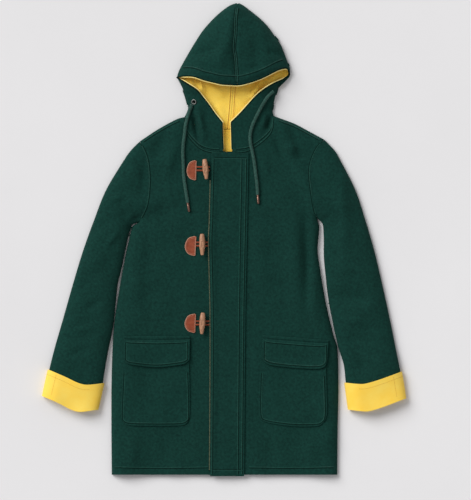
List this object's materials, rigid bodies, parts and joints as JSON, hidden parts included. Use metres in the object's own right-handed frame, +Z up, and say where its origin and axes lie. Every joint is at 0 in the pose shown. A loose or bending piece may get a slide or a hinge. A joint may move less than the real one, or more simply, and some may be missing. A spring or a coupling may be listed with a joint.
{
  "type": "hooded duffle coat",
  "caption": "Dark green hooded duffle coat laid flat on its back, with yellow lining, turned yellow cuffs, flap pockets and wooden toggles.",
  "frame": {"origin": "on the table under the middle of the coat's outline", "axes": "+X to the wearer's left, +Y from hem to hood, +Z up from the table, front of the coat up"},
  "size_m": [0.9114, 1.182, 0.0491],
  "materials": {
    "coating": "brushed matt",
    "lining": "matt twill",
    "cord": "braided",
    "leather": "smooth",
    "wood": "satin",
    "brass": "satin",
    "copper": "satin",
    "nickel": "polished"
  },
  "bodies": {
    "root": {"back": "coating", "front_right": "coating", "topsleeve_right": "coating", "undersleeve_right": "coating", "cuff_right": "lining", "hood_right": "coating", "hood_lining_right": "lining", "pocket_right": "coating", "flap_right": "coating", "drawcord_right": "cord", "cord_tip_right": "copper", "front_left": "coating", "topsleeve_left": "coating", "undersleeve_left": "coating", "cuff_left": "lining", "hood_left": "coating", "hood_lining_left": "lining", "pocket_left": "coating", "flap_left": "coating", "drawcord_left": "cord", "cord_tip_left": "copper", "neck_lining": "lining", "zip_edge": "brass", "placket": "coating", "eyelet": "nickel", "toggle_patch_1": "leather", "thong_1": "leather", "toggle_1": "wood", "loop_1": "leather", "toggle_patch_2": "leather", "thong_2": "leather", "toggle_2": "wood", "loop_2": "leather", "toggle_patch_3": "leather", "thong_3": "leather", "toggle_3": "wood", "loop_3": "leather"}
  },
  "joints": []
}
